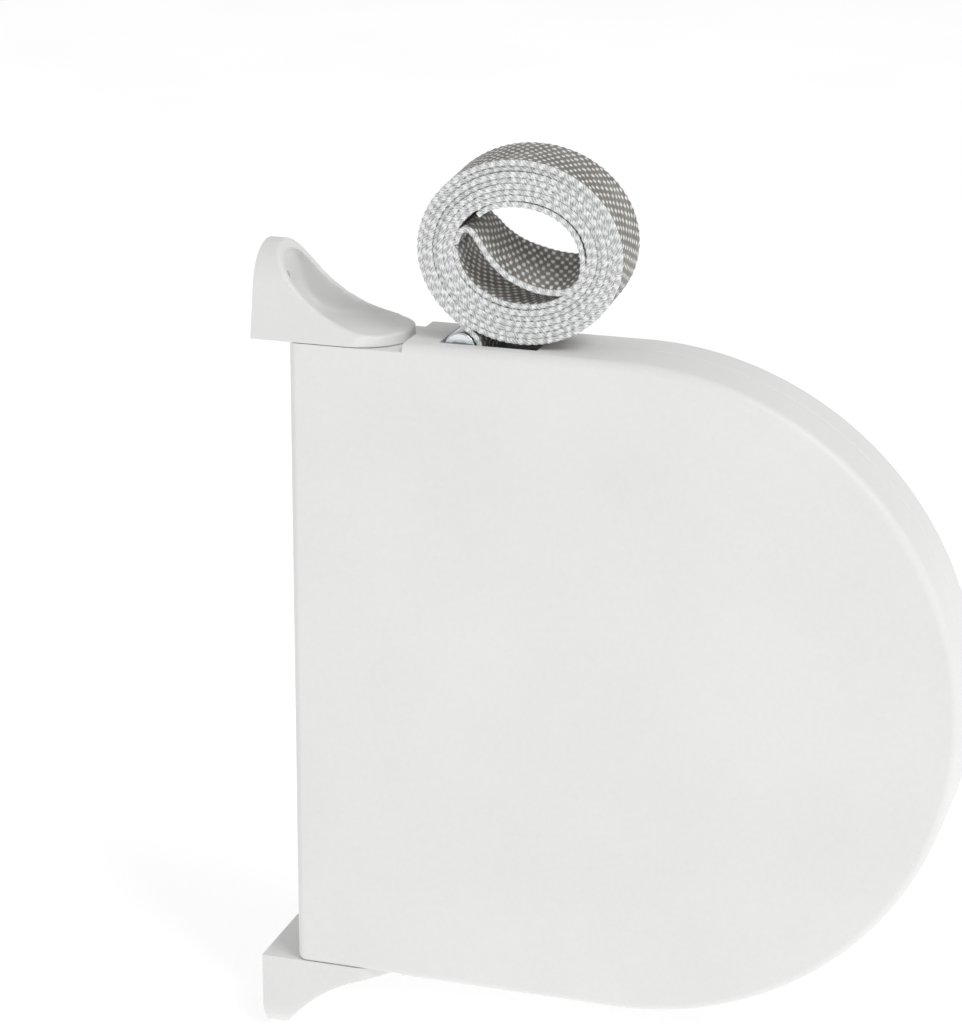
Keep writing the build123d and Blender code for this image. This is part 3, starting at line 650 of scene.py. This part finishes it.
screws = join([shell_screw(x, z) for x, z in screw_places], "shell_screw_set")
smooth_skin(screws, 35)
screws.data.materials.clear()
screws.data.materials.append(zinc_steel)
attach(screws, "housing")
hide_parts("shell_screws")

# ---- Axle, ring, washer and the small pins and screws of the spool ----
# Turned and stamped steel, all bright zinc plated. Their shapes are simple and are kept.

for node in ("spool_axle", "axle_retaining_ring", "spool_washer", "cover_screws",
             "spring_anchor_pin", "belt_anchor_pin", "guide_roller_pin"):
    steel = frame["nodes"][node]
    steel.data.materials.clear()
    steel.data.materials.append(zinc_steel)

# ---- Spool cup and cover ----
# Grey injection-moulded polyamide, a little glossier where the mould was polished.

spool_grey = moulded_plastic("spool_grey", (0.42, 0.43, 0.44), 1500.0)
for node in ("spool_cup", "spool_cover"):
    half = frame["nodes"][node]
    half.data.materials.clear()
    half.data.materials.append(spool_grey)

# ---- Bearing bushes ----
# Natural acetal, cream coloured and waxy.

bush_cream = moulded_plastic("bush_cream", (0.74, 0.71, 0.62), 3200.0)
for node in ("front_spool_bush", "rear_spool_bush"):
    bush = frame["nodes"][node]
    bush.data.materials.clear()
    bush.data.materials.append(bush_cream)

# ---- Mainspring ----
# A hardened steel ribbon, blued by its heat treatment, in 14 turns inside the hub.

spring_blue = plated_steel("spring_blue", (0.30, 0.36, 0.46), 0.22)
mainspring = frame["nodes"]["clock_spring"]
mainspring.data.materials.clear()
mainspring.data.materials.append(spring_blue)

# ---- Guide roller ----
# A zinc-plated steel sleeve that turns on a fixed pin at the wall end of the slot. Its ends are
# chamfered and recessed round the bore.

ROLLER_RADIUS = 3.5 * MM
ROLLER_LENGTH = 13.8 * MM
ROLLER_CHAMFER = 0.5 * MM
BORE_RADIUS = 0.85 * MM
RECESS_RING = 1.0 * MM
END_RECESS = 0.35 * MM

roller = rod("Y", (roller_x, 0, roller_z), ROLLER_RADIUS, ROLLER_LENGTH, 96)
roller_end = ROLLER_LENGTH / 2 - MM / 100
edit(roller, "EDGE", lambda edge: abs(edge.verts[0].co.y + edge.verts[1].co.y) > 2 * roller_end)
bpy.ops.mesh.bevel(offset=ROLLER_CHAMFER, segments=4, affect="EDGES")
close_edit()
for side in (1, -1):
    recess_radius = ROLLER_RADIUS - ROLLER_CHAMFER - RECESS_RING
    recess = rod("Y", (roller_x, side * ROLLER_LENGTH / 2, roller_z), recess_radius, 2 * END_RECESS, 64)
    combine(roller, recess, "DIFFERENCE")
combine(roller, rod("Y", (roller_x, 0, roller_z), BORE_RADIUS, 2 * ROLLER_LENGTH, 48), "DIFFERENCE")
smooth_skin(roller, 25)
roller.name = "guide_roller_sleeve"
roller.data.materials.clear()
roller.data.materials.append(zinc_steel)
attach(roller, "roller")
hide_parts("guide_roller")

# ---- Belt on the spool ----
# Woven polyester webbing, 14 mm wide: silver-grey warp over a darker ground, with a white weft that
# turns back at both selvedges. Twelve turns of it lie between the spool's flanges.

BELT_WIDTH = 14.0 * MM
BELT_THICKNESS = 1.2 * MM
SELVEDGE_ROUND = 0.25 * MM
SELVEDGE_BAND = 0.6 * MM
LAYER = 1.2 * MM
PICK = 1.55 * MM
RIB = 2.9 * MM
HUB_RADIUS = 42.0 * MM
WOUND_TURNS = 12
FACE_COLUMNS = 12
EDGE_STEPS = 4
YARN_RELIEF = 0.22 * MM
SCALLOP = 0.08 * MM
SIDE_SCALLOP = 0.16 * MM


def evenly(points, step):
    """The same line as points, divided into equal steps."""
    line = [points[0]]
    to_go = step
    for start, end in zip(points, points[1:]):
        run = (end - start).length
        done = 0.0
        while run - done >= to_go:
            done += to_go
            line.append(start.lerp(end, done / run))
            to_go = step
        to_go -= run - done
    return line


def belt_section():
    """(across, through) points once round the belt: two faces and two round selvedges, as shares."""
    half, thick = BELT_WIDTH / 2, BELT_THICKNESS / 2
    flat = half - SELVEDGE_ROUND
    section = []
    for side in (1, -1):
        for column in range(FACE_COLUMNS + 1):
            section.append((side * flat * (2 * column / FACE_COLUMNS - 1), side * -thick))
        for corner in range(1, EDGE_STEPS):
            angle = pi * corner / EDGE_STEPS - pi / 2
            section.append((side * (flat + SELVEDGE_ROUND * cos(angle)), side * thick * sin(angle)))
    return section


def webbing(name, line, step, lift=lambda along, across: 0.0):
    """A closed ribbon of webbing along a line of (x, z) points, with its yarns' relief at the edges.

    The lift is how much higher than the line a point of the belt lies where the belt isn't level.
    """
    section = belt_section()
    around = len(section)
    vertices = []
    for index, centre in enumerate(line):
        ahead = line[min(index + 1, len(line) - 1)] - line[max(index - 1, 0)]
        ahead.normalize()
        sideways = Vector((-ahead.y, ahead.x))
        along = index * step
        wave = cos(2 * pi * along / PICK)
        drift = 0.2 * MM * sin(along / (31 * MM)) + 0.14 * MM * sin(along / (11.7 * MM))
        for across, through in section:
            edge_share = max(0.0, abs(across) / (BELT_WIDTH / 2) - 0.8) * 5
            out = through + SCALLOP * wave * edge_share
            outward = 1 if across > 0 else -1
            over = across + outward * SIDE_SCALLOP * edge_share * cos(2 * pi * along / PICK + outward)
            point = centre + sideways * out
            vertices.append((point.x, over + drift, point.y + lift(along, across)))
    faces = []
    for index in range(len(line) - 1):
        for corner in range(around):
            following = (corner + 1) % around
            first, second = index * around, (index + 1) * around
            faces.append((first + corner, first + following, second + following, second + corner))
    last = (len(line) - 1) * around
    faces.append(tuple(reversed(range(around))))
    faces.append(tuple(range(last, last + around)))
    mesh = bpy.data.meshes.new(name)
    mesh.from_pydata(vertices, [], faces)
    face_map = mesh.uv_layers.new(name="length_and_width")
    edge_map = mesh.uv_layers.new(name="length_and_thickness")
    for polygon in mesh.polygons:
        for loop in polygon.loop_indices:
            vertex = mesh.loops[loop].vertex_index
            across, through = section[vertex % around]
            along = (vertex // around) * step
            face_map.data[loop].uv = (along / PICK, across / RIB)
            edge_map.data[loop].uv = (along / PICK, through / BELT_THICKNESS)
    piece = bpy.data.objects.new(name, mesh)
    bpy.context.scene.collection.objects.link(piece)
    edit(piece, "FACE", lambda face: True)
    bpy.ops.mesh.normals_make_consistent(inside=False)
    close_edit()
    bpy.ops.object.shade_smooth_by_angle(angle=radians(50))
    return piece


def webbing_finish():
    """Lozenges of light warp yarn on a dark ground, and white looped yarn at the selvedges with painted
    shade between the loops.
    """
    fluff = {"Specular IOR Level": 0.35, "Sheen Weight": 0.15, "Sheen Roughness": 0.4}
    finish = Finish("grey_webbing", fluff)
    face_place = finish.node("ShaderNodeUVMap", {"uv_map": "length_and_width"})
    edge_place = finish.node("ShaderNodeUVMap", {"uv_map": "length_and_thickness"})
    face_split = finish.node("ShaderNodeSeparateXYZ", None, {0: face_place})
    along = face_split
    across = Wire(finish, face_split.socket.node.outputs["Y"])
    edge_split = finish.node("ShaderNodeSeparateXYZ", None, {0: edge_place})
    through = Wire(finish, edge_split.socket.node.outputs["Y"])

    def wave(value, phase=0.0):
        return finish.node("ShaderNodeMath", {"operation": "COSINE"}, {0: value * (2 * pi) + phase})

    wander = finish.noise(260.0, 2.0) - 0.5
    fibre = finish.noise(5200.0, 2.0)
    soft = finish.noise(150.0, 2.0)

    # faces: yarns surface at every other crossing, leaning a little along the belt
    lean = along * 0.78 + across * 0.35 + wander * 0.8
    row = wave(across + wander * 0.5)
    row_width = finish.node("ShaderNodeMath", {"operation": "ABSOLUTE"}, {0: row})
    crossing = wave(lean) * row * row_width
    lozenge = finish.node("ShaderNodeMapRange", {"interpolation_type": "SMOOTHSTEP"},
                          {"Value": crossing + fibre * 1.3, "From Min": 0.55, "From Max": 1.45})

    # selvedges: the weft's loops, each slanting across the thickness; the low parts between loops are
    # relief and painted shade
    slant = along * 1.25 + through * 0.7 + wander * 2.6
    strand = wave(slant) * wave(through * 0.9 + along * 0.55 + wander * 2.2)
    loop_height_and_shade = finish.node("ShaderNodeMapRange", {"interpolation_type": "SMOOTHSTEP"},
                              {"Value": strand + fibre * 0.9, "From Min": -0.35, "From Max": 1.0})
    edge_start = (BELT_WIDTH / 2 - SELVEDGE_BAND) / RIB
    reach = finish.node("ShaderNodeMath", {"operation": "ABSOLUTE"}, {0: across})
    at_edge = finish.node("ShaderNodeMapRange", None,
                          {"Value": reach, "From Min": edge_start, "From Max": edge_start + 0.1})

    face_tone = lozenge * 0.8 + soft * 0.25
    face_colour = finish.ramp(face_tone, (0.1, (0.18, 0.17, 0.155)), (0.65, (0.90, 0.89, 0.86)),
                              (0.3, (0.40, 0.387, 0.36)))
    # the selvedge ramp's grey low end is painted shade between the weft loops, over the white yarn colour
    selvedge_yarn_and_shade_colour = finish.ramp(loop_height_and_shade * 0.85 + soft * 0.15, (0.05, (0.50, 0.53, 0.525)),
                              (0.7, (0.92, 0.93, 0.925)), (0.35, (0.74, 0.765, 0.76)))
    colour = finish.node("ShaderNodeMix", {"data_type": "RGBA"},
                         {"Factor": at_edge, 6: face_colour, 7: selvedge_yarn_and_shade_colour}, output=2)
    finish.feed("Base Color", colour)
    finish.feed("Roughness", 0.62 - lozenge * 0.14 + fibre * 0.1)
    relief = lozenge * (1 - at_edge) + loop_height_and_shade * at_edge + fibre * 0.25
    finish.bump(relief, YARN_RELIEF, 0.9)
    return finish.material


grey_webbing = webbing_finish()


def wound_line():
    """The wound belt's middle line: an even spiral from the hub outward."""
    points = []
    steps_a_turn = 120
    for index in range(WOUND_TURNS * steps_a_turn + 1):
        turn = index / steps_a_turn
        radius = HUB_RADIUS + LAYER / 2 + turn * LAYER * (1 - 1 / WOUND_TURNS)
        angle = pi - 2 * pi * turn
        points.append(Vector((spool_x + radius * cos(angle), radius * sin(angle))))
    return points


def line_length(points):
    return sum((end - start).length for start, end in zip(points, points[1:]))


WOUND_STEP = 3.1 * MM
wound_points = wound_line()
wound_belt = webbing("wound_belt", evenly(wound_points, WOUND_STEP), WOUND_STEP)
wound_belt.data.materials.append(grey_webbing)
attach(wound_belt, "spool")
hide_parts("belt_on_spool")
line_length(wound_points)

# ---- Belt outside the spool ----
# The same belt goes on over the guide roller and out of the slot, and its free end is rolled up by
# hand: seven turns round a start that was folded twice, so the hole shows an S.

BELT_GAP = 0.3 * MM
ROLL_CENTRE = Vector((59.8, 96.15)) * MM
ROLL_HALF_LENGTH = 22.6 * MM
ROLL_HALF_HEIGHT = 20.1 * MM
SIDE_LAYER = 1.13 * MM
TOP_LAYER = 1.26 * MM
ROLL_START = radians(225)
ROLL_TURNS = 7.125
ROLL_STEP = 0.39 * MM
ROLL_LEAN = 0.65 * MM
FOLD_RISE = 4.2 * MM
ASKEW_SHARE = 0.62
# the folded start, from the wall side of the hole: points about the roll's centre, in millimetres
FOLD = [
    (-14.2, 2.0), (-13.4, 4.0), (-11.5, 4.4), (-9.6, 2.4), (-7.3, -1.0), (-3.8, -4.4), (0.4, -6.6),
    (5.2, -7.8), (10.0, -7.5), (12.9, -5.4), (13.7, -2.0), (13.2, 2.2), (11.7, 5.3), (9.3, 7.7),
    (6.2, 9.4), (2.5, 10.4), (-1.4, 10.7), (-5.0, 10.2), (-7.7, 9.1), (-9.8, 7.5),
]


def through_points(points, divisions):
    """A smooth curve that passes through every point."""
    line = []
    for index in range(1, len(points) - 2):
        before, start, end, after = points[index - 1:index + 3]
        for division in range(divisions):
            share = division / divisions
            pull_start, pull_end = (end - before) / 2, (after - start) / 2
            line.append(
                start * (2 * share**3 - 3 * share**2 + 1) + pull_start * (share**3 - 2 * share**2 + share)
                + end * (3 * share**2 - 2 * share**3) + pull_end * (share**3 - share**2)
            )
    return line


def strand_line(guide_radius, leaving_radius, join):
    """From the wound belt, round the room side of the roller, to the roll."""
    reach = hypot(spool_x - roller_x, roller_z)
    low_turn = atan2(-roller_z, spool_x - roller_x) + acos((guide_radius + leaving_radius) / reach)
    rise = join - Vector((roller_x, roller_z))
    high_turn = atan2(rise.y, rise.x) - acos(guide_radius / rise.length)
    points = [Vector((spool_x - leaving_radius * cos(low_turn), -leaving_radius * sin(low_turn)))]
    for index in range(25):
        angle = low_turn + (high_turn - low_turn) * index / 24
        points.append(Vector((roller_x + guide_radius * cos(angle), roller_z + guide_radius * sin(angle))))
    return points


def roll_line():
    """Turns that shrink by one layer each, then the folded start."""
    points = []
    steps_a_turn = 180
    for index in range(int(ROLL_TURNS * steps_a_turn)):
        turn = index / steps_a_turn
        angle = ROLL_START - 2 * pi * turn
        half_length = ROLL_HALF_LENGTH - SIDE_LAYER * turn
        half_height = ROLL_HALF_HEIGHT - TOP_LAYER * turn
        points.append(ROLL_CENTRE + Vector((half_length * cos(angle), half_height * sin(angle))))
    fold = [ROLL_CENTRE + Vector(point) * MM for point in FOLD]
    return points + through_points([points[-40], points[-1]] + fold + [fold[-1] * 2 - fold[-2]], 16)[1:]


roller_reach = ROLLER_RADIUS + BELT_GAP + BELT_THICKNESS / 2
wound_reach = HUB_RADIUS + WOUND_TURNS * LAYER + BELT_GAP + BELT_THICKNESS / 2
rolled = roll_line()
free_points = strand_line(roller_reach, wound_reach, rolled[0]) + rolled
fold_length = line_length(through_points([Vector(point) * MM for point in FOLD], 4))
fold_start = line_length(free_points) - fold_length
roll_start = line_length(free_points) - line_length(rolled)


def roll_lift(along, across):
    """The roll leans to the front, and its start was folded in askew, rear selvedge high."""
    rolled_share = min(1.0, max(0.0, (along - roll_start) / ROLL_HALF_LENGTH))
    fold_share = min(1.0, max(0.0, (along - fold_start) / (ASKEW_SHARE * fold_length)))
    leaning = ROLL_LEAN * rolled_share * 2 * across / BELT_WIDTH
    return leaning + FOLD_RISE * sin(pi * fold_share) * (0.5 + across / BELT_WIDTH)


free_belt = webbing("free_belt", evenly(free_points, ROLL_STEP), ROLL_STEP, roll_lift)
free_belt.data.materials.append(grey_webbing)
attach(free_belt, "housing")
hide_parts("belt_strand", "belt_roll")
line_length(free_points)

# ---- Studio ----
# A pale floor under the lower bracket, an even white surround and one broad soft lamp, high on the
# room side.

KEY_PLACE = (0.95, -0.55, 1.15)
KEY_SIZE = 0.6
KEY_POWER = 8.0
SURROUND_STRENGTH = 0.58
FLOOR_SIZE = 12

pale_paint = {"Roughness": 0.9, "Specular IOR Level": 0.1, "Emission Strength": 0.42}
floor_material = Finish("floor_white", pale_paint)
floor_material.feed("Base Color", floor_material.ramp(
    floor_material.noise(6.0), (0.4, (0.90, 0.90, 0.90)), (0.6, (0.92, 0.92, 0.92))))
floor_material.shader.inputs["Emission Color"].default_value = (1.0, 1.0, 1.0, 1.0)
bpy.ops.object.select_all(action="DESELECT")
bpy.ops.mesh.primitive_plane_add(size=FLOOR_SIZE, location=(0, 0, cad_low.z - MM / 10))
floor = finished_place(bpy.context.object)
floor.name = "floor"
floor.data.materials.append(floor_material.material)

world = bpy.data.worlds.new("surround")
world.use_nodes = True
world.node_tree.nodes["Background"].inputs["Color"].default_value = (1.0, 1.0, 1.0, 1.0)
world.node_tree.nodes["Background"].inputs["Strength"].default_value = SURROUND_STRENGTH
bpy.context.scene.world = world
bpy.context.scene.view_settings.view_transform = "Standard"


def soft_lamp(name, place, aim_at, size, power):
    lamp = bpy.data.objects.new(name, bpy.data.lights.new(name, "AREA"))
    bpy.context.scene.collection.objects.link(lamp)
    lamp.data.size = size
    lamp.data.energy = power
    lamp.location = place
    lamp.rotation_euler = (Vector(aim_at) - Vector(place)).to_track_quat("-Z", "Y").to_euler()


middle = (cad_low + cad_high) / 2
soft_lamp("key", KEY_PLACE, middle, KEY_SIZE, KEY_POWER)
